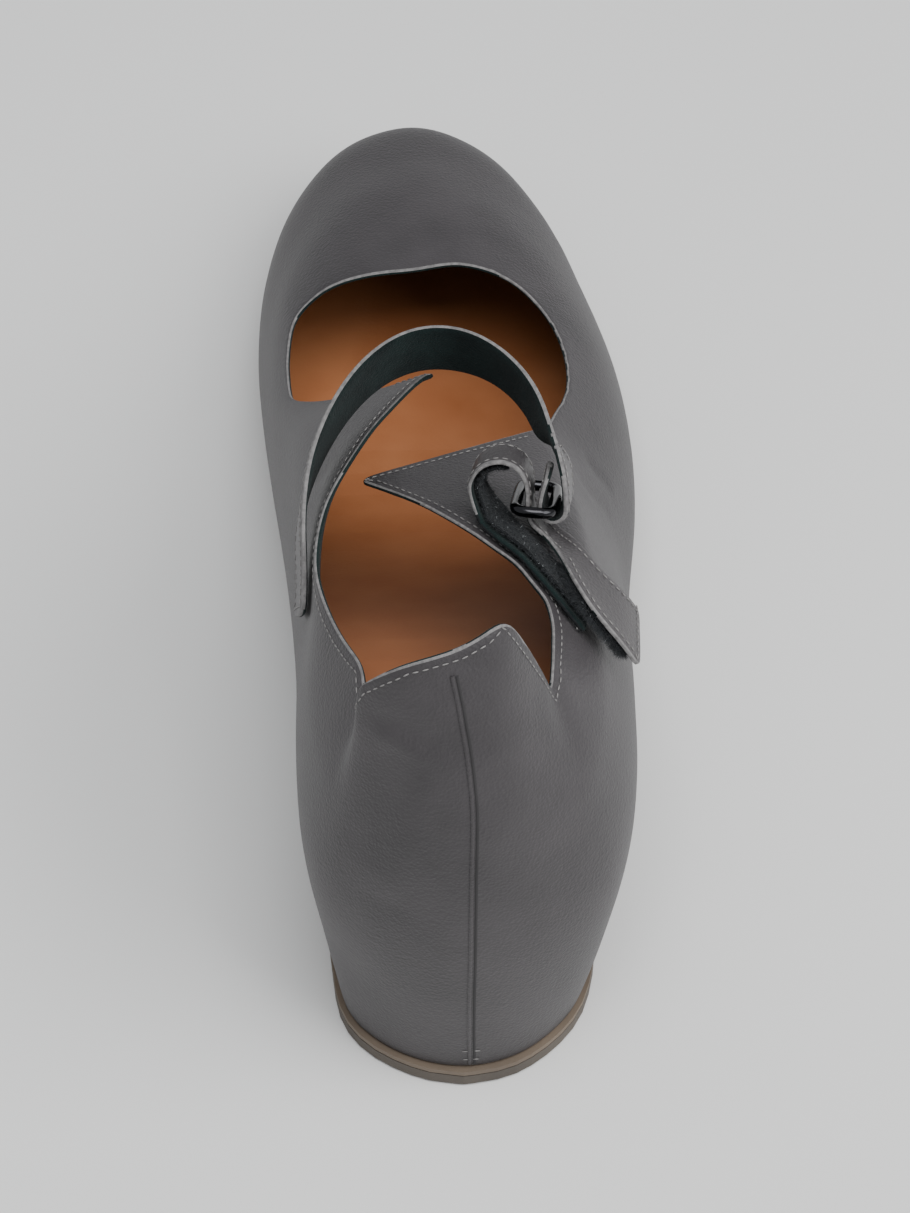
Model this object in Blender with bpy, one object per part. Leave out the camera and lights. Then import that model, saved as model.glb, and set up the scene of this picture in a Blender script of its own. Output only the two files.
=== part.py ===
"""Leather bar shoe for the right foot, with a hidden wedge under its footbed.

Metres, +Z up, +Y towards the toe, +X towards the outer side of the foot. The shoe is drawn from the
heel's back point on the floor, and an empty then sets it on the middle of its own box.
"""

import math

import bpy
import numpy as np
from mathutils import Vector
from mathutils.bvhtree import BVHTree

# Driving sizes of the shoe
LENGTH = 0.258
BALL_WIDTH = 0.084
UPPER_HEIGHT = 0.115
WALL = 0.0020
GAP = 0.0003

# Sole
OUTSOLE_THICKNESS = 0.0033
MIDSOLE_THICKNESS = 0.0012
SOLE_LEDGE = 0.0010
OUTSOLE_EDGE_ROUND = 0.0006
TOE_SPRING = 0.007
SPRING_START = 0.70

# Footbed
FOOTBED_THICKNESS = 0.0030
HEEL_RISE = 0.036
RISE_TOP = 0.22
RISE_FOOT = 0.66
FOOTBED_FIT = 0.0006

# Instep strap
STRAP_WIDTH = 0.0140
STRAP_WIDTH_AT_RING = 0.0126
STRAP_THICKNESS = 0.0022
STRAP_RETURN = 0.0070
STRAP_TURNS = 6
STRAP_LEAD_OUT = 0.35
STRAP_LEAD_UP = 1.35
STRAP_TAIL_OUT = 0.45
STRAP_TAIL = (0.3, 0.65, 1.0)

# Ring between the straps
RING_LENGTH = 0.0200
RING_WIDTH = 0.0100
RING_WIRE = 0.0025
RING_BEND = 0.0027
RING_BEND_STEPS = 4
RING_SIDES = 8
RING_X = 0.372
RING_Y = 0.304
RING_Z = 0.736
RING_LONG = (0.12, 0.86, -0.50)
RING_SHORT = (0.96, -0.25, 0.05)

# Closure strap and its hook-and-loop tapes
TAB_WIDTH = 0.0124
TAB_THICKNESS = 0.0018
TAPE_THICKNESS = 0.0008
TAPE_MARGIN = 0.0010

LAYER_SHARES = (0.0, 0.25, 0.5, 0.75, 1.0)
LAYER_ENDS = 24
SHARP_ANGLE = 40
RING_SHARP_ANGLE = 60
TINY = 1e-9
CLEAR_OF_WALL = 0.0075
EVEN_PASSES = 3
HALF = BALL_WIDTH / 2
SOLE_TOP = OUTSOLE_THICKNESS + GAP + MIDSOLE_THICKNESS + GAP

# Stations round the shoe, from the back seam along the outer side to the toe and back along the inner side.
# Each gives the foot line on the sole, the low bulge, the shoulder and the line where the vamp's opening
# is cut, as x in half ball widths, y in lengths and z in upper heights above the sole.
STATION_COLUMNS = ("name", "steps", "foot_x", "foot_y", "bulge_x", "bulge_y", "bulge_z",
                   "shoulder_x", "shoulder_y", "shoulder_z", "line_x", "line_y", "line_z")
STATIONS = (
    ("back seam", 2, -0.01, 0.003, -0.01, -0.006, 0.18, -0.01, -0.010, 0.39, -0.02, 0.000, 0.60),
    ("tab peak", 2, 0.25, 0.013, 0.27, 0.004, 0.18, 0.30, 0.000, 0.39, 0.25, 0.008, 0.60),
    ("tab side", 2, 0.43, 0.036, 0.49, 0.027, 0.18, 0.52, 0.021, 0.39, 0.44, 0.029, 0.60),
    ("outer notch", 2, 0.54, 0.060, 0.63, 0.054, 0.18, 0.69, 0.050, 0.40, 0.57, 0.056, 0.61),
    ("outer collar end", 3, 0.60, 0.089, 0.70, 0.085, 0.19, 0.77, 0.083, 0.41, 0.63, 0.085, 0.62),
    ("outer heel side", 3, 0.64, 0.147, 0.77, 0.147, 0.20, 0.83, 0.147, 0.43, 0.68, 0.143, 0.63),
    ("outer collar", 3, 0.67, 0.213, 0.80, 0.213, 0.20, 0.84, 0.211, 0.43, 0.68, 0.198, 0.63),
    ("outer side", 3, 0.70, 0.283, 0.82, 0.283, 0.19, 0.845, 0.275, 0.40, 0.66, 0.252, 0.63),
    ("outer waist", 3, 0.75, 0.360, 0.86, 0.360, 0.17, 0.83, 0.345, 0.36, 0.62, 0.310, 0.62),
    ("outer wing", 3, 0.82, 0.438, 0.91, 0.438, 0.16, 0.82, 0.415, 0.32, 0.57, 0.380, 0.57),
    ("outer wing front", 3, 0.89, 0.527, 0.965, 0.523, 0.14, 0.83, 0.500, 0.30, 0.49, 0.492, 0.47),
    ("outer ball", 3, 0.92, 0.612, 0.97, 0.608, 0.125, 0.845, 0.581, 0.28, 0.607, 0.566, 0.39),
    ("outer forefoot", 3, 0.88, 0.698, 0.915, 0.698, 0.11, 0.82, 0.667, 0.25, 0.607, 0.624, 0.355),
    ("outer toe shoulder", 3, 0.74, 0.798, 0.77, 0.798, 0.10, 0.67, 0.752, 0.24, 0.512, 0.680, 0.34),
    ("outer toe", 3, 0.52, 0.891, 0.55, 0.899, 0.09, 0.44, 0.829, 0.24, 0.32, 0.717, 0.35),
    ("outer toe front", 3, 0.23, 0.957, 0.25, 0.969, 0.09, 0.155, 0.884, 0.24, 0.07, 0.728, 0.365),
    ("toe tip", 3, -0.14, 0.984, -0.14, 1.000, 0.09, -0.155, 0.903, 0.24, -0.176, 0.719, 0.37),
    ("inner toe front", 3, -0.49, 0.965, -0.52, 0.981, 0.09, -0.45, 0.888, 0.24, -0.417, 0.714, 0.37),
    ("inner toe", 3, -0.76, 0.907, -0.82, 0.919, 0.09, -0.70, 0.841, 0.24, -0.643, 0.705, 0.355),
    ("inner toe shoulder", 3, -0.94, 0.826, -0.99, 0.826, 0.10, -0.88, 0.771, 0.24, -0.798, 0.686, 0.33),
    ("inner ball", 3, -0.98, 0.725, -1.03, 0.725, 0.12, -0.95, 0.694, 0.25, -0.848, 0.643, 0.34),
    ("inner wing front", 3, -0.91, 0.624, -0.995, 0.628, 0.15, -0.95, 0.606, 0.28, -0.833, 0.561, 0.39),
    ("inner wing", 3, -0.80, 0.527, -0.93, 0.531, 0.18, -0.915, 0.512, 0.33, -0.81, 0.481, 0.47),
    ("inner waist", 3, -0.71, 0.438, -0.86, 0.442, 0.20, -0.865, 0.426, 0.37, -0.785, 0.395, 0.53),
    ("inner side", 3, -0.67, 0.349, -0.80, 0.349, 0.22, -0.82, 0.341, 0.40, -0.745, 0.310, 0.57),
    ("inner collar", 3, -0.655, 0.252, -0.76, 0.252, 0.22, -0.785, 0.248, 0.42, -0.715, 0.233, 0.61),
    ("inner heel side", 3, -0.64, 0.163, -0.74, 0.163, 0.20, -0.785, 0.159, 0.43, -0.725, 0.151, 0.62),
    ("inner collar end", 2, -0.61, 0.095, -0.69, 0.093, 0.19, -0.75, 0.087, 0.42, -0.67, 0.087, 0.62),
    ("inner notch", 2, -0.575, 0.062, -0.63, 0.058, 0.18, -0.69, 0.052, 0.40, -0.62, 0.058, 0.61),
    ("inner tab corner", 2, -0.50, 0.041, -0.54, 0.038, 0.18, -0.60, 0.031, 0.39, -0.55, 0.037, 0.60),
    ("inner tab", 2, -0.28, 0.014, -0.31, 0.007, 0.18, -0.345, 0.003, 0.39, -0.31, 0.010, 0.60),
)

# Cut edge of the two wings, the collar, its notches and the heel tab, in the same shares as the stations.
# Rise is how far the wall keeps the line's own slope before it bends to the edge, and draw pulls the bend
# back towards the heel. A corner ends one smooth stretch of the edge and starts the next.
EDGE_COLUMNS = ("name", "corner", "x", "y", "z", "rise", "draw")
EDGE = (
    ("inner wing front", True, -0.083, 0.446, 0.722, 0.62, 0.010),
    ("inner wing", False, -0.30, 0.402, 0.745, 0.72, 0.000),
    ("inner waist", False, -0.485, 0.346, 0.762, 0.75, 0.000),
    ("inner side", False, -0.63, 0.293, 0.76, 0.75, 0.000),
    ("inner collar", False, -0.68, 0.236, 0.75, 0.75, 0.000),
    ("inner heel side", False, -0.61, 0.178, 0.77, 0.75, 0.000),
    ("inner collar end", True, -0.46, 0.107, 0.83, 0.75, 0.000),
    ("inner notch", True, -0.445, 0.072, 0.80, 0.75, 0.000),
    ("inner tab corner", True, -0.475, 0.058, 0.91, 0.75, 0.000),
    ("inner tab", False, -0.27, 0.048, 0.985, 0.75, 0.000),
    ("back seam", False, -0.02, 0.057, 1.00, 0.75, 0.000),
    ("tab peak", True, 0.19, 0.078, 1.02, 0.75, 0.000),
    ("tab side", False, 0.33, 0.093, 0.87, 0.75, 0.000),
    ("outer notch", True, 0.40, 0.103, 0.765, 0.75, 0.000),
    ("outer collar end", True, 0.415, 0.130, 0.775, 0.75, 0.000),
    ("outer heel side", False, 0.425, 0.172, 0.757, 0.75, 0.000),
    ("outer collar", False, 0.335, 0.216, 0.750, 0.72, 0.000),
    ("outer side", False, 0.165, 0.253, 0.745, 0.65, 0.004),
    ("outer waist", False, -0.08, 0.298, 0.72, 0.55, 0.010),
    ("outer wing", False, -0.29, 0.332, 0.69, 0.45, 0.024),
    ("outer wing front", True, -0.483, 0.365, 0.645, 0.40, 0.036),
)
FOOT_ROWS = 3
SHOULDER_ROWS = 4
LINE_ROWS = 4
EDGE_ROWS = 7

# Middle line of the instep strap, from its seam on the inner wall over the instep to the ring, and the
# way its upper edge points there, in the same shares.
STRAP_COLUMNS = ("name", "x", "y", "z", "up_x", "up_y", "up_z")
STRAP = (
    ("seam end", -0.75, 0.238, 0.608, 0.17, -0.60, 0.78),
    ("seam", -0.745, 0.264, 0.663, 0.14, -0.55, 0.82),
    ("inner rise", -0.745, 0.290, 0.698, 0.10, -0.45, 0.89),
    ("inner side", -0.715, 0.322, 0.734, 0.05, -0.35, 0.93),
    ("inner shoulder", -0.66, 0.349, 0.758, 0.00, -0.30, 0.95),
    ("inner top", -0.51, 0.398, 0.783, -0.03, -0.20, 0.98),
    ("inner crown", -0.28, 0.438, 0.790, 0.00, -0.12, 0.99),
    ("crown", -0.055, 0.446, 0.790, 0.00, -0.10, 0.99),
    ("outer crown", 0.145, 0.433, 0.792, 0.00, -0.15, 0.99),
    ("outer top", 0.30, 0.406, 0.790, 0.05, -0.25, 0.97),
    ("outer shoulder", 0.385, 0.381, 0.780, 0.10, -0.38, 0.92),
    ("outer fall", 0.425, 0.358, 0.765, 0.13, -0.50, 0.86),
)
STRAP_STEPS = 3
STRAP_SEATED = 1
STRAP_SAMPLES = 3

# Middle line of the closure strap: its lower leg on the outer wall, from the seam up to the fold, and its
# outer leg from the ring back to the free end. Across is the way over the band towards the toe, and width
# is a share of the band's width at the ring.
LEG_COLUMNS = ("name", "x", "y", "z", "across_x", "across_y", "across_z", "width")
LOWER_LEG = (
    ("seam", 0.548, 0.198, 0.686, 0.10, 0.95, -0.25, 1.00),
    ("low", 0.464, 0.212, 0.718, 0.20, 0.90, -0.35, 0.90),
    ("middle", 0.345, 0.2385, 0.737, 0.28, 0.82, -0.45, 0.72),
    ("high", 0.232, 0.268, 0.731, 0.30, 0.78, -0.50, 0.76),
    ("fold", 0.143, 0.296, 0.721, 0.25, 0.82, -0.52, 1.00),
)
OUTER_LEG = (
    ("under ring", 0.455, 0.270, 0.705, 0.20, 0.86, -0.47, 1.00),
    ("high", 0.500, 0.240, 0.740, 0.18, 0.88, -0.42, 1.11),
    ("middle", 0.600, 0.209, 0.735, 0.15, 0.93, -0.32, 1.22),
    ("low", 0.712, 0.201, 0.688, 0.12, 0.96, -0.24, 1.34),
    ("free end", 0.812, 0.200, 0.630, 0.10, 0.98, -0.17, 1.45),
)
# The fold round the ring's inner bar, as shares of the ring's width outwards and upwards from that bar.
FOLD_COLUMNS = ("name", "out", "up")
FOLD = (
    ("left foot", -0.89, 0.12),
    ("left", -0.92, 0.40),
    ("upper left", -0.72, 0.74),
    ("top", -0.33, 0.88),
    ("upper right", 0.05, 0.72),
    ("right", 0.22, 0.36),
    ("bar side", 0.25, -0.06),
    ("bar foot", 0.350, -0.360),
)
PILE_FOLD_ROWS = 5
LEG_STEPS = 3
FOLD_STEPS = 2
LEG_SAMPLES = 4


def rows(table, columns):
    """The rows of a table as dictionaries with named columns."""
    return [dict(zip(columns, row)) for row in table]


def unit(vector):
    """The same direction at length one."""
    return vector / np.linalg.norm(vector, axis=-1, keepdims=True)


def spring(y):
    """Rise of the sole's underside above the floor at a distance y from the heel."""
    share = np.clip((np.asarray(y) / LENGTH - SPRING_START) / (1 - SPRING_START), 0, None)
    return TOE_SPRING * share ** 2


def sole_top(y):
    """Height of the sole's upper face."""
    return SOLE_TOP + spring(y)


def bed_top(y):
    """Height of the footbed's upper face: level under the heel, then down the wedge to the ball."""
    share = np.clip((np.asarray(y) / LENGTH - RISE_TOP) / (RISE_FOOT - RISE_TOP), 0, 1)
    return sole_top(y) + GAP + FOOTBED_THICKNESS + HEEL_RISE * (1 - share * share * (3 - 2 * share))


def place(x, y, z):
    """A point from its shares of half the ball width, the length and the upper's height."""
    return np.array([x * HALF, y * LENGTH, sole_top(y * LENGTH) + z * UPPER_HEIGHT])


def hermite(start, end, start_slope, end_slope, span, share):
    """One cubic stretch between two points with given slopes."""
    s2, s3 = share ** 2, share ** 3
    return ((2 * s3 - 3 * s2 + 1) * start + (s3 - 2 * s2 + share) * span * start_slope
            + (3 * s2 - 2 * s3) * end + (s3 - s2) * span * end_slope)


def smooth_line(points, steps, closed=False):
    """Points on a smooth curve through the given points, with a number of steps in each stretch."""
    points = np.asarray(points, float)
    count = len(points)
    spans = np.maximum(np.linalg.norm(np.roll(points, -1, axis=0) - points, axis=1), TINY)
    slopes = np.zeros_like(points)
    for i in range(count):
        if closed or 0 < i < count - 1:
            before, after = spans[i - 1], spans[i]
            back = (points[i] - points[i - 1]) / before
            forth = (points[(i + 1) % count] - points[i]) / after
            slopes[i] = (back * after + forth * before) / (before + after)
    if not closed:
        slopes[0] = 1.5 * (points[1] - points[0]) / spans[0] - 0.5 * slopes[1]
        slopes[-1] = 1.5 * (points[-1] - points[-2]) / spans[-2] - 0.5 * slopes[-2]
        if count == 2:
            slopes[:] = (points[1] - points[0]) / spans[0]
    line = []
    for i in range(count if closed else count - 1):
        j = (i + 1) % count
        for k in range(steps[i]):
            line.append(hermite(points[i], points[j], slopes[i], slopes[j], spans[i], k / steps[i]))
    if not closed:
        line.append(points[-1])
    return np.array(line)


def material(name, colour, roughness, metallic=0.0):
    """A plain Principled material."""
    finish = bpy.data.materials.new(name)
    finish.use_nodes = True
    shader = finish.node_tree.nodes["Principled BSDF"]
    shader.inputs["Base Color"].default_value = (*colour, 1.0)
    shader.inputs["Roughness"].default_value = roughness
    shader.inputs["Metallic"].default_value = metallic
    return finish


def solid(name, verts, faces, finish, sharp=SHARP_ANGLE):
    """One named object from a closed mesh, shaded smooth up to the sharp angle."""
    mesh = bpy.data.meshes.new(name)
    mesh.from_pydata([tuple(v) for v in verts], [], faces)
    mesh.materials.append(finish)
    mesh.shade_smooth()
    mesh.set_sharp_from_angle(angle=math.radians(sharp))
    mesh.validate()
    thing = bpy.data.objects.new(name, mesh)
    bpy.context.collection.objects.link(thing)
    return thing


def thicken(outer, faces, inner):
    """Vertices and faces of a wall between an outer sheet and its inner copy, closed along every edge."""
    count = len(outer)
    edges = {}
    for face in faces:
        for a, b in zip(face, face[1:] + face[:1]):
            edges[(a, b)] = True
    rim = [(b, a, a + count, b + count) for a, b in edges if (b, a) not in edges]
    back = [tuple(v + count for v in reversed(face)) for face in faces]
    return np.vstack([outer, inner]), list(faces) + back + rim


def sheet_normals(verts, faces):
    """Outward normals at the vertices of an open sheet, weighted by area."""
    normals = np.zeros_like(verts)
    for face in faces:
        a, b, c, d = (verts[i] for i in face)
        across = np.cross(c - a, d - b)
        for i in face:
            normals[i] += across
    return unit(normals)


def wall_profiles():
    """Rings of the upper's outer face from the foot line to the opening's line, all the way round."""
    stations = rows(STATIONS, STATION_COLUMNS)
    steps = [s["steps"] for s in stations]
    rings = []
    for level in ("foot", "bulge", "shoulder", "line"):
        points = []
        for s in stations:
            points.append(place(s[level + "_x"], s[level + "_y"], s.get(level + "_z", 0.0)))
        rings.append(smooth_line(points, steps, closed=True))
    rings[0][:, 2] = sole_top(rings[0][:, 1])
    profiles = []
    for column in range(len(rings[0])):
        points = [ring[column] for ring in rings]
        profiles.append(smooth_line(points, (FOOT_ROWS, SHOULDER_ROWS, LINE_ROWS)))
    first = {}
    column = 0
    for s in stations:
        first[s["name"]] = column
        column += s["steps"]
    return np.array(profiles).transpose(1, 0, 2), first, steps


def edge_line(first, steps, total):
    """The cut edge of wings, collar and tab, with its rise and draw, a row for each column."""
    edge = rows(EDGE, EDGE_COLUMNS)
    names = [row["name"] for row in rows(STATIONS, STATION_COLUMNS)]
    points = [np.append(place(row["x"], row["y"], row["z"]), (row["rise"], row["draw"])) for row in edge]
    counts = [steps[names.index(row["name"])] for row in edge]
    corners = [i for i, row in enumerate(edge) if row["corner"]]
    line = []
    for start, end in zip(corners, corners[1:]):
        stretch = smooth_line(points[start:end + 1], counts[start:end])
        line.extend(stretch[:-1])
    line.append(points[-1])
    columns = [(first[edge[0]["name"]] + i) % total for i in range(len(line))]
    return np.array(line), columns


def upper_sheet():
    """Vertices and faces of the upper's outer face, its columns at the line, and its lower rings."""
    grid, first, steps = wall_profiles()
    levels, total = grid.shape[:2]
    verts = list(grid.reshape(-1, 3))
    index = {(r, c): r * total + c for r in range(levels) for c in range(total)}
    faces = []
    for r in range(levels - 1):
        for c in range(total):
            d = (c + 1) % total
            faces.append((index[r, c], index[r, d], index[r + 1, d], index[r + 1, c]))
    line, columns = edge_line(first, steps, total)
    top = levels - 1
    for row, c in zip(line, columns):
        start, point = grid[top, c], row[:3]
        rise = unit(grid[top, c] - grid[top - 2, c]) * np.linalg.norm(point - start) * row[3] / 2
        bend = start + rise - np.array([0, row[4] * LENGTH, 0])
        for r in range(1, EDGE_ROWS + 1):
            share = r / EDGE_ROWS
            index[top + r, c] = len(verts)
            verts.append(start * (1 - share) ** 2 + bend * 2 * share * (1 - share) + point * share ** 2)
    for r in range(top, top + EDGE_ROWS):
        for c, d in zip(columns, columns[1:]):
            faces.append((index[r, c], index[r, d], index[r + 1, d], index[r + 1, c]))
    return np.array(verts), faces, grid


def split_sides(ring):
    """A closed ring as x on its outer and inner side at shared distances along the shoe."""
    low, high = ring[:, 1].argmin(), ring[:, 1].argmax()
    order = np.roll(np.arange(len(ring)), -low)
    turn = int(np.where(order == high)[0][0])
    outer = ring[order[:turn + 1]]
    inner = ring[np.append(order[turn:], order[0])][::-1]
    share = (1 - np.cos(np.linspace(0, math.pi, 2 * LAYER_ENDS + 1))) / 2
    y = ring[low, 1] + (ring[high, 1] - ring[low, 1]) * share
    return y, np.interp(y, outer[:, 1], outer[:, 0]), np.interp(y, inner[:, 1], inner[:, 0])


def layered(name, rings, heights, finish):
    """A solid between closed rings stacked upwards, each at its own height function along the shoe."""
    verts = []
    loops = []
    for ring, height in zip(rings, heights):
        y, outer, inner = split_sides(ring)
        z = height(y)
        count = len(y)
        start = len(verts)
        verts.append((outer[0], y[0], z[0]))
        verts.extend((outer[i], y[i], z[i]) for i in range(1, count - 1))
        verts.append((outer[-1], y[-1], z[-1]))
        verts.extend((inner[i], y[i], z[i]) for i in range(count - 2, 0, -1))
        loops.append(list(range(start, len(verts))))
    faces = []
    for low, high in zip(loops, loops[1:]):
        for i in range(len(low)):
            j = (i + 1) % len(low)
            faces.append((low[i], low[j], high[j], high[i]))
    last = count - 1
    for loop, upward in ((loops[0], False), (loops[-1], True)):
        right = loop[:count]
        left = [loop[0]] + loop[:last:-1] + [loop[last]]
        for i in range(last):
            face = [right[i], right[i + 1], left[i + 1], left[i]]
            face = list(dict.fromkeys(face))
            faces.append(tuple(face if upward else reversed(face)))
    return solid(name, verts, faces, finish)


def grown(ring, distance):
    """A closed ring moved outwards by a distance in plan."""
    along = unit(np.roll(ring[:, :2], -1, axis=0) - np.roll(ring[:, :2], 1, axis=0))
    out = np.stack([along[:, 1], -along[:, 0]], axis=1)
    moved = ring.copy()
    moved[:, :2] += out * distance
    return moved


def make_outsole(foot, finish):
    """The rubber sole, with a small round along its lower edge."""
    edge = SOLE_LEDGE - OUTSOLE_EDGE_ROUND
    rings = [grown(foot, edge), grown(foot, SOLE_LEDGE), grown(foot, SOLE_LEDGE)]
    heights = [spring, lambda y: spring(y) + OUTSOLE_EDGE_ROUND, lambda y: spring(y) + OUTSOLE_THICKNESS]
    return layered("outsole", rings, heights, finish)


def make_midsole(foot, finish):
    """The thin layer between rubber and upper."""
    bottom = OUTSOLE_THICKNESS + GAP
    rings = [grown(foot, SOLE_LEDGE), grown(foot, SOLE_LEDGE)]
    heights = [lambda y: spring(y) + bottom, lambda y: spring(y) + bottom + MIDSOLE_THICKNESS]
    return layered("midsole", rings, heights, finish)


def inner_ring(inside, height):
    """Where the inner face of the wall stands at a height function along the shoe, a fit inwards."""
    ring = []
    for column in range(inside.shape[1]):
        profile = inside[:, column]
        over = profile[:, 2] - height(profile[:, 1])
        r = int(np.argmax(over > 0))
        r = max(r, 1)
        share = np.clip(-over[r - 1] / (over[r] - over[r - 1]), 0, 1)
        ring.append(profile[r - 1] + (profile[r] - profile[r - 1]) * share)
    return grown(np.array(ring), -FOOTBED_FIT)


def make_insole(inside, finish):
    """The footbed and its wedge, shaped to the inside of the wall."""
    def level(share):
        """Height function at a share of the way from the sole to the footbed's top."""
        return lambda y: sole_top(y) + GAP + (bed_top(y) - sole_top(y) - GAP) * share
    rings = [inner_ring(inside, level(share)) for share in LAYER_SHARES]
    return layered("insole", rings, [level(share) for share in LAYER_SHARES], finish)


def make_upper(finish):
    """The hollow leather wall, and its faces for what is seated on it."""
    verts, faces, grid = upper_sheet()
    normals = sheet_normals(verts, faces)
    inner = verts - normals * WALL
    total = grid.shape[1]
    foot_in = unit(normals[:total, :2]) * WALL
    inner[:total, :2] = verts[:total, :2] - foot_in
    inner[:total, 2] = verts[:total, 2]
    closed, shell = thicken(verts, faces, inner)
    upper = solid("upper", closed, shell, finish)
    tree = BVHTree.FromPolygons([tuple(v) for v in verts], faces)
    inside = inner[:grid.shape[0] * total].reshape(grid.shape)
    return upper, tree, grid, inside


def seated(tree, point, lift):
    """The point that stands a lift above the upper's outer face nearest to a given point."""
    spot, normal, _, _ = tree.find_nearest(Vector(point))
    return np.array(spot) + np.array(normal) * lift


def ring_frame():
    """Centre of the ring, its long axis towards the toe, its short axis outwards and the way up from both."""
    centre = place(RING_X, RING_Y, RING_Z)
    long_axis = unit(np.array(RING_LONG))
    out = np.array(RING_SHORT)
    short_axis = unit(out - long_axis * out.dot(long_axis))
    return centre, long_axis, short_axis, np.cross(short_axis, long_axis)


def make_ring(finish):
    """The oval ring, a round wire along a rectangle with round corners."""
    centre, long_axis, short_axis, upward = ring_frame()
    half_short = (RING_WIDTH - RING_WIRE) / 2 - RING_BEND
    half_long = (RING_LENGTH - RING_WIRE) / 2 - RING_BEND
    verts, faces = [], []
    for corner, (short, along) in enumerate(((1, 1), (-1, 1), (-1, -1), (1, -1))):
        heart = centre + short_axis * half_short * short + long_axis * half_long * along
        for i in range(RING_BEND_STEPS + 1):
            angle = math.pi / 2 * (corner + i / RING_BEND_STEPS)
            out = short_axis * math.cos(angle) + long_axis * math.sin(angle)
            for k in range(RING_SIDES):
                turn = 2 * math.pi * k / RING_SIDES
                wire = (out * math.cos(turn) + upward * math.sin(turn)) * RING_WIRE / 2
                verts.append(heart + out * RING_BEND + wire)
    count = len(verts) // RING_SIDES
    for i in range(count):
        for k in range(RING_SIDES):
            a, b = i * RING_SIDES, ((i + 1) % count) * RING_SIDES
            n = (k + 1) % RING_SIDES
            faces.append((a + k, b + k, b + n, a + n))
    return solid("ring", verts, faces, finish, RING_SHARP_ANGLE)


def grid_normals(middle):
    """Face direction at each point of a grid, by the steps along and across it."""
    along = unit(np.gradient(middle, axis=0))
    across = unit(np.gradient(middle, axis=1))
    return unit(np.cross(across, along))


def band(name, middle, normals, low, high, finish):
    """A band along a grid of points, between two offsets from it, one row for each step along it."""
    outer = (middle + normals * high).reshape(-1, 3)
    inner = (middle + normals * low).reshape(-1, 3)
    count, samples = middle.shape[:2]
    faces = []
    for r in range(count - 1):
        for c in range(samples - 1):
            a = r * samples + c
            faces.append((a, a + 1, a + samples + 1, a + samples))
    verts, shell = thicken(outer, faces, inner)
    return solid(name, verts, shell, finish)


def cross_lines(middle, across, widths, samples):
    """A grid of points from a middle line, the way across it and its widths."""
    shares = np.linspace(-0.5, 0.5, samples)
    return np.array([[m + a * w * s for s in shares] for m, a, w in zip(middle, across, widths)])


def kept_off(tree, point, lift):
    """The point itself, or raised from the face below it until it lies the lift away from it."""
    spot, normal, _, distance = tree.find_nearest(Vector(point))
    height = (Vector(point) - spot).dot(normal)
    beside = math.sqrt(max(distance ** 2 - height ** 2, 0.0))
    if distance > CLEAR_OF_WALL or beside > lift:
        return point
    return point + np.array(normal) * max(math.sqrt(lift ** 2 - beside ** 2) - height, 0.0)


def evened(grid, first, last):
    """The grid with the rows from first to last eased between their neighbours."""
    eased = np.array(grid)
    for _ in range(EVEN_PASSES):
        eased[first:last] = (eased[first - 1:last - 1] + 2 * eased[first:last] + eased[first + 1:last + 1]) / 4
    return eased


def make_instep_strap(tree, finish):
    """The hoop over the instep: seated on the inner wall, then free, with its end folded round the ring."""
    table = rows(STRAP, STRAP_COLUMNS)
    points = [place(row["x"], row["y"], row["z"]) for row in table]
    ups = unit(np.array([[row["up_x"], row["up_y"], row["up_z"]] for row in table]))
    centre, long_axis, short_axis, upward = ring_frame()
    bar = centre + short_axis * (RING_WIDTH - RING_WIRE) / 2
    radius = RING_WIRE / 2 + GAP + STRAP_THICKNESS / 2
    lead = bar + short_axis * radius * STRAP_LEAD_OUT + upward * STRAP_RETURN * STRAP_LEAD_UP
    turns = [bar + (short_axis * math.cos(t) - upward * math.sin(t)) * radius
             for t in np.linspace(0, math.pi, STRAP_TURNS + 1)]
    tail = [turns[-1] + upward * STRAP_RETURN * s + short_axis * radius * STRAP_TAIL_OUT * s ** 2
            for s in STRAP_TAIL]
    steps = [STRAP_STEPS] * (len(points) + 1)
    line = smooth_line(points + [lead, turns[0]], steps)
    middle = np.vstack([line, turns[1:], tail])
    upright = smooth_line(list(ups) + [-long_axis, -long_axis], steps)
    straight = np.repeat(-long_axis[None], len(turns) - 1 + len(tail), axis=0)
    across = unit(np.vstack([upright, straight]))
    widths = np.full(len(middle), STRAP_WIDTH)
    widths[len(line) - STRAP_STEPS:] = STRAP_WIDTH_AT_RING
    grid = cross_lines(middle, across, widths, STRAP_SAMPLES)
    lift = GAP + STRAP_THICKNESS / 2
    for r in range(STRAP_SEATED * STRAP_STEPS + 1):
        for c in range(STRAP_SAMPLES):
            grid[r, c] = seated(tree, grid[r, c], lift)
    for r in range(STRAP_SEATED * STRAP_STEPS + 1, len(line)):
        for c in range(STRAP_SAMPLES):
            grid[r, c] = kept_off(tree, grid[r, c], lift)
    grid = evened(grid, STRAP_SEATED * STRAP_STEPS - 1, len(line) - STRAP_STEPS)
    half = STRAP_THICKNESS / 2
    return band("instep_strap", grid, grid_normals(grid), -half, half, finish)


def sheet_tree(grid):
    """Nearest-point tree of a grid of points, its faces turned outwards."""
    samples = grid.shape[1]
    verts = [tuple(v) for v in grid.reshape(-1, 3)]
    faces = []
    for r in range(len(grid) - 1):
        for c in range(samples - 1):
            a = r * samples + c
            faces.append((a, a + 1, a + samples + 1, a + samples))
    return BVHTree.FromPolygons(verts, faces)


def leg_line(table):
    """Middle line, way across and width of one leg of the closure strap."""
    table = rows(table, LEG_COLUMNS)
    points = [place(row["x"], row["y"], row["z"]) for row in table]
    across = [[row["across_x"], row["across_y"], row["across_z"]] for row in table]
    widths = [[row["width"] * TAB_WIDTH] for row in table]
    return points, unit(np.array(across)), widths


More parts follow.
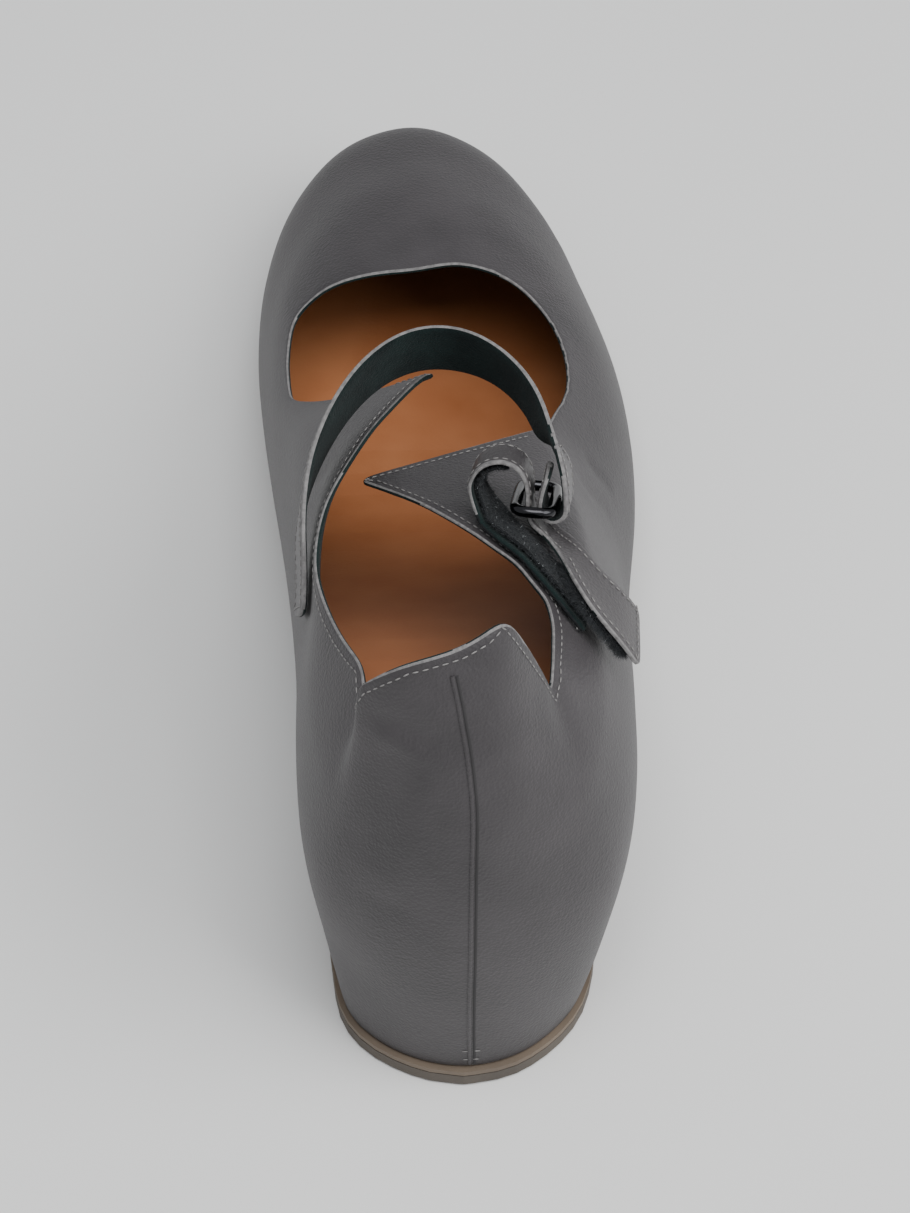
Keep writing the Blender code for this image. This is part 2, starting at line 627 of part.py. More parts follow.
def closure_grid(tree):
    """Points along the closure strap from its seam round the ring to its free end, and where the fold ends."""
    centre, long_axis, short_axis, upward = ring_frame()
    bar = centre - short_axis * (RING_WIDTH - RING_WIRE) / 2
    lower, lower_across, lower_widths = leg_line(LOWER_LEG)
    outer, outer_across, outer_widths = leg_line(OUTER_LEG)
    fold = [bar + (short_axis * row["out"] + upward * row["up"]) * RING_WIDTH
            for row in rows(FOLD, FOLD_COLUMNS)]
    lift = GAP + TAB_THICKNESS / 2
    lower = [seated(tree, point, lift) for point in lower]
    steps = [LEG_STEPS] * (len(lower) - 1) + [FOLD_STEPS] * (len(fold) + 1) + [LEG_STEPS] * (len(outer) - 1)
    middle = smooth_line(lower + fold + outer, steps)
    straight = np.repeat(long_axis[None], len(fold), axis=0)
    across = unit(smooth_line(np.vstack([lower_across, straight, outer_across]), steps))
    first = LEG_STEPS * (len(lower) - 1)
    last = first + FOLD_STEPS * (len(fold) + 1)
    widths = smooth_line(lower_widths + [[TAB_WIDTH]] * len(fold) + outer_widths, steps)
    grid = cross_lines(middle, across, widths[:, 0], LEG_SAMPLES)
    for r in range(first + 1):
        for c in range(LEG_SAMPLES):
            grid[r, c] = seated(tree, grid[r, c], lift)
    leg = sheet_tree(grid[:first + 1])
    tape = sheet_tree(narrowed(grid[:first + 1], TAPE_MARGIN))
    over_leg = TAB_THICKNESS + 2 * GAP
    over_pile = over_leg + TAPE_THICKNESS + GAP
    over_hook = over_pile + TAPE_THICKNESS + 2 * GAP
    for r in range(first + 1, len(middle)):
        share = np.clip((r - last) / LEG_STEPS, 0, 1)
        for c in range(LEG_SAMPLES):
            grid[r, c] = kept_off(tree, grid[r, c], lift + over_hook * share)
            if r > last - FOLD_STEPS:
                grid[r, c] = kept_off(leg, grid[r, c], over_leg)
                grid[r, c] = kept_off(tape, grid[r, c], over_pile + (over_hook - over_pile) * share)
    return evened(grid, last, len(middle) - 1), first, last


def narrowed(grid, margin):
    """The same grid with a margin left free along both edges."""
    inner = np.array(grid)
    for edge, beside in ((0, 1), (-1, -2)):
        step = grid[:, beside] - grid[:, edge]
        inner[:, edge] += unit(step) * margin
    return inner


def make_closure(tree, leather, pile):
    """The closure strap and the two tapes on its inner side."""
    grid, first, last = closure_grid(tree)
    half = TAB_THICKNESS / 2
    normals = grid_normals(grid)
    tape = narrowed(grid, TAPE_MARGIN)
    low, high = half + GAP, half + GAP + TAPE_THICKNESS
    pile_end = first + FOLD_STEPS * PILE_FOLD_ROWS
    hook = last + LEG_STEPS
    return [
        band("closure_strap", grid, normals, -half, half, leather),
        band("pile_tape", tape[1:pile_end], normals[1:pile_end], low, high, pile),
        band("hook_tape", tape[hook:-1], normals[hook:-1], low, high, pile),
    ]


def reset_scene():
    """Start from an empty scene."""
    for thing in list(bpy.data.objects):
        bpy.data.objects.remove(thing, do_unlink=True)


def set_on_origin(things):
    """Hang every piece from an empty, so that the middle of the shoe's box stands on the origin."""
    corners = np.array([v.co[:] for thing in things for v in thing.data.vertices])
    low, high = corners.min(axis=0), corners.max(axis=0)
    stand = bpy.data.objects.new("shoe", None)
    bpy.context.collection.objects.link(stand)
    stand.location = (-(low[0] + high[0]) / 2, -(low[1] + high[1]) / 2, -low[2])
    for thing in things:
        thing.parent = stand


def main():
    """Model the shoe."""
    reset_scene()
    leather = material("grey leather", (0.145, 0.135, 0.140), 0.55)
    rubber = material("grey rubber", (0.150, 0.140, 0.130), 0.75)
    board = material("tan midsole", (0.420, 0.300, 0.200), 0.65)
    footbed = material("tan leather", (0.430, 0.160, 0.065), 0.50)
    metal = material("gunmetal", (0.050, 0.050, 0.052), 0.30, 1.0)
    pile = material("black tape", (0.012, 0.013, 0.014), 0.90)
    upper, tree, grid, inside = make_upper(leather)
    foot = grid[0]
    things = [
        make_outsole(foot, rubber),
        make_midsole(foot, board),
        make_insole(inside, footbed),
        upper,
        make_instep_strap(tree, leather),
        make_ring(metal),
        *make_closure(tree, leather, pile),
    ]
    set_on_origin(things)


main()
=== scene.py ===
# %% [markdown]
# # Leather bar shoe, right foot
# This lesson dresses the plain solids of a flat leather shoe so that it looks like the real thing.
# The solids come in as a fixed frame. Each soft piece is copied, smoothed and given edges, stitches and
# a lining, and every surface gets a material made of nodes. Sizes are in metres, +Y is towards the toe,
# +X is the outer side of the foot and +Z is up.

# %% Load the frame
import math

import bpy
import numpy as np
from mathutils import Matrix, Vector
from mathutils.bvhtree import BVHTree


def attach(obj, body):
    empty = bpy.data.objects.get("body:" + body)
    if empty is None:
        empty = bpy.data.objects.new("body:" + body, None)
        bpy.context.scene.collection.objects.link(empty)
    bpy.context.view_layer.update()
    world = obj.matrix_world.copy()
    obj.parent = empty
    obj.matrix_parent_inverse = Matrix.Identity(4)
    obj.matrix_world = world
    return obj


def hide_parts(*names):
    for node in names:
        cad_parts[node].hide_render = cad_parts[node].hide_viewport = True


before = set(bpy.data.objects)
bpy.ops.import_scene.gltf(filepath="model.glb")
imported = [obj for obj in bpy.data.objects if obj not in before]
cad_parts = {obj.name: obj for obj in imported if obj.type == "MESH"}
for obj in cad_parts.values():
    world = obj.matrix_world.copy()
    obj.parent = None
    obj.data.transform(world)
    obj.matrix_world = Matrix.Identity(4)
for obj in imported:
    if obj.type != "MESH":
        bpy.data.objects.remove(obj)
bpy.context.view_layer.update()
bpy.ops.object.select_all(action="DESELECT")
print("nodes", sorted(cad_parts))

# %% [markdown]
# ## The camera first
# The photograph looks down on the heel from behind and above. The camera stands where it stood, and a
# longer lens brings the one shoe close. The same place and the photograph's own lens turn a spot in the
# photograph into a line of sight, which later puts the creases and the back seam on the leather.

# %% Camera
# The camera was fitted with the heel at the origin, and this is that origin as a place in the frame.
STAND = Vector((0.0011711, -0.12769184, 0.0))
PHOTO_WIDTH, PHOTO_HEIGHT = 910, 1213
PHOTO_FOCAL = 2500.0
CAMERA_PLACE = Vector((-0.012, -0.458, 0.6866)) + STAND
LOOK = Vector((-0.0288, 0.6554, -0.7547)).normalized()
IMAGE_RIGHT = Vector((0.9990, 0.0439, 0.0)).normalized()
IMAGE_UP = IMAGE_RIGHT.cross(LOOK).normalized()
SHOE_CENTRE = (561.0, 633.0)
CLOSER = 1.62
SENSOR = 36.0
NEAR_CLIP = 0.01


def sight(px, py):
    """Direction of the line of sight through a spot of the photograph."""
    right = (px - PHOTO_WIDTH / 2) / PHOTO_FOCAL
    up = (PHOTO_HEIGHT / 2 - py) / PHOTO_FOCAL
    return (LOOK + IMAGE_RIGHT * right + IMAGE_UP * up).normalized()


lens = bpy.data.cameras.new("photo_camera")
lens.sensor_fit = "HORIZONTAL"
lens.sensor_width = SENSOR
lens.lens = PHOTO_FOCAL / PHOTO_WIDTH * SENSOR * CLOSER
lens.clip_start = NEAR_CLIP
camera = bpy.data.objects.new("photo_camera", lens)
bpy.context.scene.collection.objects.link(camera)
camera.location = CAMERA_PLACE
camera.rotation_euler = sight(*SHOE_CENTRE).to_track_quat("-Z", "Y").to_euler()
bpy.context.scene.camera = camera
print("lens", round(lens.lens, 1), "mm")

# %% [markdown]
# ## Grain that several leathers share
# Leather shows small pores and faint cloudy tones. One node group makes both from the object's own
# coordinates: a height for the bump and a mask for the colour. Each leather then sets its own amounts.

# %% Shader groups


def new_group(name, inputs, outputs):
    """An empty shader group with float inputs and outputs."""
    tree = bpy.data.node_groups.new(name, "ShaderNodeTree")
    for label, value in inputs:
        socket = tree.interface.new_socket(name=label, in_out="INPUT", socket_type="NodeSocketFloat")
        socket.default_value = value
    for label in outputs:
        tree.interface.new_socket(name=label, in_out="OUTPUT", socket_type="NodeSocketFloat")
    return tree


def add(tree, kind, **values):
    """A node of a kind with its settings and its inputs by name."""
    node = tree.nodes.new(kind)
    for name, value in values.items():
        if hasattr(node, name):
            setattr(node, name, value)
        else:
            node.inputs[name].default_value = value
    return node


def wire(tree, *pairs):
    """Links between pairs of sockets."""
    for start, end in pairs:
        tree.links.new(start, end)


def calc(tree, operation, first, second):
    """A Math node on two sockets or numbers."""
    node = tree.nodes.new("ShaderNodeMath")
    node.operation = operation
    for socket, value in zip(node.inputs, (first, second)):
        if isinstance(value, (int, float)):
            socket.default_value = value
        else:
            tree.links.new(value, socket)
    return node.outputs[0]


CELLS, CLOUD = 1500.0, 38.0
PORE_SHARE, FINE_SHARE = 0.6, 0.7

grain = new_group("leather grain", [("Cells", CELLS), ("Cloud", CLOUD)], ["Height", "Cloudy"])
inside = add(grain, "NodeGroupInput")
outside = add(grain, "NodeGroupOutput")
place = add(grain, "ShaderNodeTexCoord")
pores = add(grain, "ShaderNodeTexVoronoi", feature="F1", Randomness=0.9)
fine = add(grain, "ShaderNodeTexNoise", Detail=4.0, Roughness=0.6)
cloud = add(grain, "ShaderNodeTexNoise", Detail=3.0, Roughness=0.55)
spot = place.outputs["Object"]
wire(grain, (spot, pores.inputs["Vector"]), (spot, fine.inputs["Vector"]), (spot, cloud.inputs["Vector"]),
     (inside.outputs["Cells"], pores.inputs["Scale"]),
     (calc(grain, "MULTIPLY", inside.outputs["Cells"], FINE_SHARE), fine.inputs["Scale"]),
     (inside.outputs["Cloud"], cloud.inputs["Scale"]))
pits = calc(grain, "MULTIPLY", pores.outputs["Distance"], PORE_SHARE)
height = calc(grain, "ADD", pits, fine.outputs["Fac"])
wire(grain, (height, outside.inputs["Height"]), (cloud.outputs["Fac"], outside.inputs["Cloudy"]))
print("group", grain.name)

# %% [markdown]
# ## The leathers
# The outside is a mid-grey, slightly warm leather with a satin sheen. Its cut edges are paler, and the
# lining is a dark suede. Colour moves between a darker and a lighter tone with the cloudy mask, and the
# grain feeds a Bump node.

# %% Leather materials
TONE_START, TONE_END = 0.3, 0.7
ROUGH_SPREAD = 0.12


def finish(name, dark, light, roughness, bump=0.2, depth=0.0002, cells=CELLS, cloud=CLOUD, metallic=0.0,
           sheen=0.0, specular=0.5):
    """A Principled material whose tone and relief come from the leather grain."""
    material = bpy.data.materials.new(name)
    material.use_nodes = True
    tree = material.node_tree
    shader = tree.nodes["Principled BSDF"]
    shader.inputs["Metallic"].default_value = metallic
    shader.inputs["Sheen Weight"].default_value = sheen
    shader.inputs["Specular IOR Level"].default_value = specular
    group = add(tree, "ShaderNodeGroup", node_tree=grain)
    group.inputs["Cells"].default_value = cells
    group.inputs["Cloud"].default_value = cloud
    tone = add(tree, "ShaderNodeValToRGB")
    tone.color_ramp.elements[0].position = TONE_START
    tone.color_ramp.elements[1].position = TONE_END
    tone.color_ramp.elements[0].color = (*dark, 1.0)
    tone.color_ramp.elements[1].color = (*light, 1.0)
    relief = add(tree, "ShaderNodeBump", Strength=bump, Distance=depth)
    change = calc(tree, "MULTIPLY", group.outputs["Cloudy"], ROUGH_SPREAD)
    rough = calc(tree, "ADD", change, roughness - ROUGH_SPREAD / 2)
    wire(tree, (group.outputs["Cloudy"], tone.inputs["Fac"]),
         (tone.outputs["Color"], shader.inputs["Base Color"]),
         (group.outputs["Height"], relief.inputs["Height"]),
         (relief.outputs["Normal"], shader.inputs["Normal"]),
         (rough, shader.inputs["Roughness"]))
    return material


upper_leather = finish("grey upper leather", (0.028, 0.025, 0.027), (0.050, 0.045, 0.048), 0.50,
                       bump=0.60, depth=0.0003, sheen=0.02, specular=0.45)
strap_leather = finish("grey strap leather", (0.046, 0.042, 0.044), (0.074, 0.068, 0.070), 0.48,
                       bump=0.50, depth=0.0003, sheen=0.02, specular=0.45)
cut_edge = finish("pale cut edge", (0.110, 0.106, 0.106), (0.230, 0.222, 0.220), 0.70,
                  bump=0.5, cells=3200.0, cloud=900.0)
lining = finish("dark suede lining", (0.004, 0.009, 0.009), (0.010, 0.021, 0.020), 0.92,
                bump=0.8, depth=0.0003, cells=2400.0, cloud=160.0, sheen=0.06, specular=0.15)
footbed = finish("tan footbed leather", (0.360, 0.120, 0.042), (0.460, 0.175, 0.070), 0.50,
                 bump=0.18, cells=1100.0)
thread = finish("pale thread", (0.15, 0.145, 0.14), (0.27, 0.26, 0.255), 0.70,
                bump=0.4, cells=6000.0, cloud=900.0)
# A near-black finish for painted shade in the groove at the foot of the back seam's lip.
seam_shade_finish = finish("seam shadow", (0.020, 0.019, 0.020), (0.032, 0.030, 0.031), 0.85, bump=0.2)
rubber = finish("grey rubber edge", (0.072, 0.061, 0.050), (0.115, 0.096, 0.077), 0.70,
                bump=0.35, cells=900.0)
board = finish("tan midsole edge", (0.125, 0.096, 0.070), (0.190, 0.145, 0.104), 0.65,
               bump=0.3, cells=1300.0)
gunmetal = finish("gunmetal wire", (0.040, 0.040, 0.043), (0.065, 0.065, 0.070), 0.22,
                  bump=0.03, cells=800.0, metallic=1.0)
print("materials", len(bpy.data.materials))

# %% [markdown]
# ## Copies to work on
# The frame's solids are loose triangles, and they stay as they are. A copy is merged by distance, turned
# back into four-sided faces and split into sheets: wherever two faces meet at a sharp angle, one sheet
# ends. On a leather wall the two largest sheets are its outer and inner face, and the rest is its cut edge.

# %% Copy and sheet helpers
SHARP_TURN = math.radians(48)
MERGE = 0.00002
QUAD_TURN = math.radians(60)
SMOOTH_TURN = math.radians(50)
SHEET_CREASE = 0.36


def choose(thing):
    """Make one object the only one that is selected and active."""
    bpy.ops.object.select_all(action="DESELECT")
    thing.select_set(True)
    bpy.context.view_layer.objects.active = thing


def copy_of(node, name):
    """A merged copy of a node with four-sided faces."""
    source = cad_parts[node]
    copy = bpy.data.objects.new(name, source.data.copy())
    bpy.context.scene.collection.objects.link(copy)
    choose(copy)
    copy.data.materials.clear()
    bpy.ops.object.mode_set(mode="EDIT")
    bpy.ops.mesh.select_all(action="SELECT")
    bpy.ops.mesh.remove_doubles(threshold=MERGE)
    bpy.ops.mesh.customdata_custom_splitnormals_clear()
    bpy.ops.mesh.tris_convert_to_quads(face_threshold=QUAD_TURN, shape_threshold=QUAD_TURN)
    bpy.ops.object.mode_set(mode="OBJECT")
    return copy


def tree_of(thing, keep=lambda face: True):
    """Nearest-point and ray tree of a piece as it is now, or of the faces to keep."""
    mesh = thing.data
    return BVHTree.FromPolygons([v.co for v in mesh.vertices],
                                [tuple(f.vertices) for f in mesh.polygons if keep(f)])


def sheets(mesh):
    """A sheet number for every face, the largest sheet first, and the sharp edges between sheets."""
    edge_faces = {}
    for face in mesh.polygons:
        for key in face.edge_keys:
            edge_faces.setdefault(key, []).append(face.index)
    normals = [face.normal.copy() for face in mesh.polygons]
    sharp = set()
    near = {i: [] for i in range(len(mesh.polygons))}
    for key, pair in edge_faces.items():
        if len(pair) == 2 and normals[pair[0]].angle(normals[pair[1]], math.pi) < SHARP_TURN:
            near[pair[0]].append(pair[1])
            near[pair[1]].append(pair[0])
        else:
            sharp.add(key)
    label = {}
    groups = []
    for start in near:
        if start in label:
            continue
        stack, members = [start], []
        label[start] = len(groups)
        while stack:
            face = stack.pop()
            members.append(face)
            for other in near[face]:
                if other not in label:
                    label[other] = len(groups)
                    stack.append(other)
        groups.append(members)
    area = [sum(mesh.polygons[i].area for i in members) for members in groups]
    order = sorted(range(len(groups)), key=lambda g: -area[g])
    rank = {g: i for i, g in enumerate(order)}
    return np.array([rank[label[i]] for i in range(len(mesh.polygons))]), sharp


def border(mesh, numbers, sheet):
    """Chains of points along the edge of one sheet, with the sheet's normal at each point."""
    links = {}
    normal = {}
    count = {}
    for face in mesh.polygons:
        if numbers[face.index] != sheet:
            continue
        for key in face.edge_keys:
            count[key] = count.get(key, 0) + 1
        for v in face.vertices:
            normal[v] = normal.get(v, Vector()) + face.normal * face.area
    for (a, b), uses in count.items():
        if uses == 1:
            links.setdefault(a, []).append(b)
            links.setdefault(b, []).append(a)
    chains = []
    seen = set()
    for start in links:
        if start in seen:
            continue
        chain = [start]
        seen.add(start)
        while True:
            onward = [v for v in links[chain[-1]] if v not in seen]
            if not onward:
                break
            chain.append(onward[0])
            seen.add(onward[0])
        chains.append([(mesh.vertices[v].co.copy(), normal[v].normalized()) for v in chain])
    return sorted(chains, key=len, reverse=True)


def smooth(thing, levels, crease=SHEET_CREASE):
    """Subdivision surface, applied, creased between sheets and left to round at the rim's corners."""
    mesh = thing.data
    numbers, sharp = sheets(mesh)
    rim_faces = {}
    for face in mesh.polygons:
        for key in face.edge_keys:
            rim_faces[key] = rim_faces.get(key, 0) + int(numbers[face.index] > 1)
    layer = mesh.attributes.new("crease_edge", "FLOAT", "EDGE")
    values = [crease if key in sharp and rim_faces[key] < 2 else 0.0
              for key in (tuple(sorted(e.vertices)) for e in mesh.edges)]
    layer.data.foreach_set("value", values)
    choose(thing)
    modifier = thing.modifiers.new("round", "SUBSURF")
    modifier.levels = modifier.render_levels = levels
    bpy.ops.object.modifier_apply(modifier=modifier.name)
    thing.data.shade_smooth()
    thing.data.set_sharp_from_angle(angle=SMOOTH_TURN)


def thin(thing, numbers, sheet, onto, share, reach=None):
    """Bring the points of one sheet nearer to the other sheet, all over or only near the rim."""
    mesh = thing.data
    members = {v for f in mesh.polygons if numbers[f.index] == sheet for v in f.vertices}
    rim = {v for f in mesh.polygons if numbers[f.index] > 1 for v in f.vertices} & members
    surface = tree_of(thing, lambda face: numbers[face.index] == onto)
    rim_points = np.array([mesh.vertices[v].co[:] for v in sorted(rim)])
    moves = {}
    for v in members:
        point = mesh.vertices[v].co
        spot = surface.find_nearest(point)[0]
        weight = 1.0
        if reach:
            to_rim = np.linalg.norm(rim_points - np.array(point[:]), axis=1).min()
            weight = max(0.0, 1.0 - to_rim / reach)
        moves[v] = point + (spot - point) * share * weight
    for v, place_now in moves.items():
        mesh.vertices[v].co = place_now


def two_tone_rim(thing, pale_share):
    """Give rim faces beside the inner sheet its finish, which leaves a thin pale line."""
    mesh = thing.data
    centres = np.array([f.center[:] for f in mesh.polygons])
    index = np.array([f.material_index for f in mesh.polygons])
    outer_tree, inner_tree = (tree_of(thing, lambda face: face.material_index == sheet) for sheet in (0, 1))
    for i in np.where(index == 2)[0]:
        outer, inner = (each.find_nearest(Vector(centres[i]))[3] for each in (outer_tree, inner_tree))
        if outer > (outer + inner) * pale_share:
            mesh.polygons[int(i)].material_index = 1


def dress(thing, numbers, finishes):
    """Material of each face by its sheet: outer, inner and the rest."""
    for material in finishes:
        thing.data.materials.append(material)
    last = len(finishes) - 1
    for face in thing.data.polygons:
        face.material_index = min(int(numbers[face.index]), last)


print("helpers ready")

# %% [markdown]
# ## The upper
# The upper is one hollow wall with wings, a collar, two notches and a heel tab. Its copy is smoothed twice,
# its outer face gets the grey leather, its inner face the suede lining and its rim the pale cut edge.
# The outer face is the sheet that holds the foremost face of the toe.

# %% Upper
RIM_THINNING, RIM_REACH = 0.45, 0.012
UPPER_PALE_SHARE = 0.40

upper = copy_of("upper", "dressed_upper")
numbers, _ = sheets(upper.data)
tip = max(upper.data.polygons, key=lambda face: face.center.y)
if numbers[tip.index] == 1:
    numbers = np.where(numbers == 0, 1, np.where(numbers == 1, 0, numbers))
dress(upper, numbers, [upper_leather, lining, cut_edge])
thin(upper, numbers, 1, 0, RIM_THINNING, RIM_REACH)
upper_rim = border(upper.data, numbers, 0)
smooth(upper, 2)
two_tone_rim(upper, UPPER_PALE_SHARE)
print("upper", len(upper.data.polygons), "faces", "rim chains", [len(c) for c in upper_rim])

# %% [markdown]
# ## Creases in the leather
# Worn leather has soft troughs where it bends. Each crease is drawn as spots of the photograph, dropped
# along the line of sight onto the leather, and the points near it are moved in or out by a smooth bell.

# %% Creases
CREASE_STEPS = 12
BELL_FLOOR = 0.01
# Each crease has a name, its spots of the photograph, a push outwards and a half width, both in metres.
CREASES = (
    ("notch wrinkle", ((503, 697), (520, 705), (545, 718)), -0.0007, 0.0022),
    ("wrinkle lip", ((505, 706), (522, 714), (541, 728)), 0.0005, 0.0022),
    ("heel ridge", ((546, 722), (535, 745), (520, 780), (508, 812)), 0.0007, 0.0045),
    ("heel hollow", ((530, 722), (515, 750), (500, 790)), -0.0005, 0.0050),
    ("ball crease", ((645, 543), (653, 555), (662, 566)), -0.0005, 0.0020),
    ("ball crease low", ((640, 556), (650, 569), (660, 580)), -0.0004, 0.0020),
    ("inner ball crease", ((470, 560), (478, 552), (487, 547)), -0.0004, 0.0022),
)


def on_leather(px, py):
    """The point and normal of the leather under a spot of the photograph."""
    spot, normal, _, _ = upper_tree.ray_cast(CAMERA_PLACE, sight(px, py))
    return spot, normal


def spread(points, steps):
    """Points at even shares along straight stretches between points."""
    line = []
    for a, b in zip(points, points[1:]):
        line.extend(a + (b - a) * (k / steps) for k in range(steps))
    return line + [points[-1]]


upper_tree = tree_of(upper)
verts = np.array([v.co[:] for v in upper.data.vertices])
normals = np.array([v.normal[:] for v in upper.data.vertices])
for name, spots, push, width in CREASES:
    found = [on_leather(*spot)[0] for spot in spots]
    if any(point is None for point in found):
        print("crease misses the leather:", name)
        continue
    line = np.array([p[:] for p in spread(found, CREASE_STEPS)])
    share = np.sin(np.linspace(0.0, math.pi, len(line))) ** 0.5
    gap = np.linalg.norm(verts[:, None] - line[None], axis=2)
    nearest = gap.argmin(axis=1)
    reach = gap[np.arange(len(verts)), nearest]
    bell = np.exp(-(reach / width) ** 2) * share[nearest]
    face_out = normals @ np.array(on_leather(*spots[len(spots) // 2])[1][:])
    verts += normals * (push * bell * np.sign(face_out))[:, None] * (bell > BELL_FLOOR)[:, None]
upper.data.vertices.foreach_set("co", verts.ravel())
upper.data.update()
upper_tree = tree_of(upper)
print("creases", len(CREASES))

# %% [markdown]
# ## Stitches
# A stitch is a short thread that sinks into the leather at both ends. One is modelled from a small sphere,
# and copies of its mesh are laid along every sewn edge at an even pitch, each pressed onto the surface.

# %% Stitch
STITCH_LENGTH, STITCH_WIDTH, STITCH_PITCH = 0.0013, 0.00034, 0.0019
STITCH_FLATNESS, STITCH_LIFT = 0.8, 0.00008
WAY_SHARE = 0.3
TINY = 1e-9
# A chain whose ends lie closer than the gap is closed, and one with fewer points than the fewest isn't sewn.
CLOSED_GAP, FEWEST_POINTS, STRAY_STEP = 0.012, 12, 5
# Rims that lie lower on average than the floor value aren't sewn, and the others only behind one line
# across the shoe.
EDGE_INSET, RIM_FLOOR, SEWN_UP_TO = 0.0021, 0.020, -0.008

bpy.ops.mesh.primitive_uv_sphere_add(segments=6, ring_count=5, radius=0.5)
pattern = bpy.context.active_object
pattern.name = "stitch_pattern"
bpy.ops.object.mode_set(mode="EDIT")
bpy.ops.mesh.select_all(action="SELECT")
bpy.ops.transform.rotate(value=math.pi / 2, orient_axis="Y", center_override=(0, 0, 0))
bpy.ops.transform.resize(value=(STITCH_LENGTH, STITCH_WIDTH, STITCH_WIDTH * STITCH_FLATNESS))
bpy.ops.object.mode_set(mode="OBJECT")
stitch_verts = np.array([v.co[:] for v in pattern.data.vertices])
stitch_faces = [tuple(f.vertices) for f in pattern.data.polygons]
bpy.data.objects.remove(pattern, do_unlink=True)


def even_points(points, pitch):
    """Points and directions at an even pitch along a line."""
    points = np.array([p[:] for p in points])
    steps = np.linalg.norm(np.diff(points, axis=0), axis=1)
    along = np.concatenate([[0.0], np.cumsum(steps)])
    count = max(int(along[-1] / pitch), 1)
    at = (np.arange(count) + 0.5) * along[-1] / count
    spots = np.stack([np.interp(at, along, points[:, i]) for i in range(3)], axis=1)
    ahead = np.stack([np.interp(at + pitch * WAY_SHARE, along, points[:, i]) for i in range(3)], axis=1)
    behind = np.stack([np.interp(at - pitch * WAY_SHARE, along, points[:, i]) for i in range(3)], axis=1)
    return spots, ahead - behind


def mesh_piece(name, verts, faces, material):
    """A new piece from points and faces."""
    mesh = bpy.data.meshes.new(name)
    mesh.from_pydata(verts, [], faces)
    mesh.materials.append(material)
    piece = bpy.data.objects.new(name, mesh)
    bpy.context.scene.collection.objects.link(piece)
    return piece


def sew(name, lines, surface):
    """One object of stitches along lines, each stitch pressed onto a surface."""
    all_verts, all_faces = [], []
    for line in lines:
        for spot, way in zip(*even_points(line, STITCH_PITCH)):
            base, normal, _, _ = surface.find_nearest(Vector(spot))
            normal = np.array(normal[:])
            way = way - normal * way.dot(normal)
            size = np.linalg.norm(way)
            if size < TINY:
                continue
            way = way / size
            turn = np.stack([way, np.cross(normal, way), normal], axis=0)
            start = len(all_verts) * len(stitch_verts)
            all_verts.append(stitch_verts @ turn + np.array(base[:]) + normal * STITCH_LIFT)
            all_faces.extend(tuple(i + start for i in face) for face in stitch_faces)
    piece = mesh_piece(name, np.vstack(all_verts).tolist(), all_faces, thread)
    piece.data.shade_smooth()
    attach(piece, "root")
    print(name, len(all_verts), "stitches")


def moved_in(chain, distance):
    """A line beside the edge of a sheet, a distance inwards on the sheet."""
    count = len(chain)
    line = []
    for i, (point, normal) in enumerate(chain):
        way = chain[min(i + 1, count - 1)][0] - chain[max(i - 1, 0)][0]
        if i == 0 or i == count - 1:
            if (chain[0][0] - chain[-1][0]).length < CLOSED_GAP:
                way = chain[1][0] - chain[-1][0]
        side = normal.cross(way).normalized()
        line.append(point + side * distance)
    return line


def strays(line, surface):
    """How far a line strays from a surface, summed over some of its points."""
    return sum((surface.find_nearest(point)[0] - point).length for point in line[::STRAY_STEP])


def inset_line(chain, distance, surface):
    """The line beside an edge that lies on the leather, on whichever side of the edge that is."""
    both = [moved_in(chain, distance), moved_in(chain, -distance)]
    return min(both, key=lambda line: strays(line, surface))


rim_lines = []
for chain in upper_rim:
    if np.mean([point.z for point, _ in chain]) < RIM_FLOOR or len(chain) < FEWEST_POINTS:
        continue
    best = inset_line(chain, EDGE_INSET, upper_tree)
    run = []
    for point in best + best[:1]:
        if point.y < SEWN_UP_TO:
            run.append(point)
        elif run:
            rim_lines.append(run)
            run = []
    rim_lines.append(run)
rim_lines = [line for line in rim_lines if len(line) > 2]
sew("edge_stitches", rim_lines, upper_tree)

# %% [markdown]
# ## Back seam
# The two halves of the quarter meet at the back. The inner side's edge laps over as a low lip, with a dark
# line of painted shade at its foot. Lip and line are thin tubes sunk into the leather, drawn along spots of
# the photograph, and two short rows of stitches tack the seam at its foot.

# %% Back seam
SEAM_SPOTS = ((557, 676), (560, 695), (564, 726), (566, 760),
              (563, 803), (560, 850), (557, 890), (556, 918))
SEAM_POINTS, SOFTEN_OVER = 90, 9
LIP_RADIUS, LIP_SINK = 0.00055, 0.00022
LINE_RADIUS, LINE_SINK, LINE_SHIFT = 0.00042, 0.00026, 3.0
TUBE_ROUND = 2
TACK = (((550, 908), (565, 908)), ((551, 913), (563, 913)))


def tube(name, points, radius, material, sink):
    """A thin tube along points on the leather, sunk a little into it."""
    curve = bpy.data.curves.new(name, "CURVE")
    curve.dimensions = "3D"
    curve.bevel_depth = radius
    curve.bevel_resolution = TUBE_ROUND
    curve.use_fill_caps = True
    spline = curve.splines.new("POLY")
    spline.points.add(len(points) - 1)
    for slot, (point, normal) in zip(spline.points, points):
        slot.co = (*(point - normal * sink), 1.0)
    piece = bpy.data.objects.new(name, curve)
    bpy.context.scene.collection.objects.link(piece)
    choose(piece)
    bpy.ops.object.convert(target="MESH")
    piece.data.materials.clear()
    piece.data.materials.append(material)
    piece.data.shade_smooth()
    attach(piece, "root")
    return piece


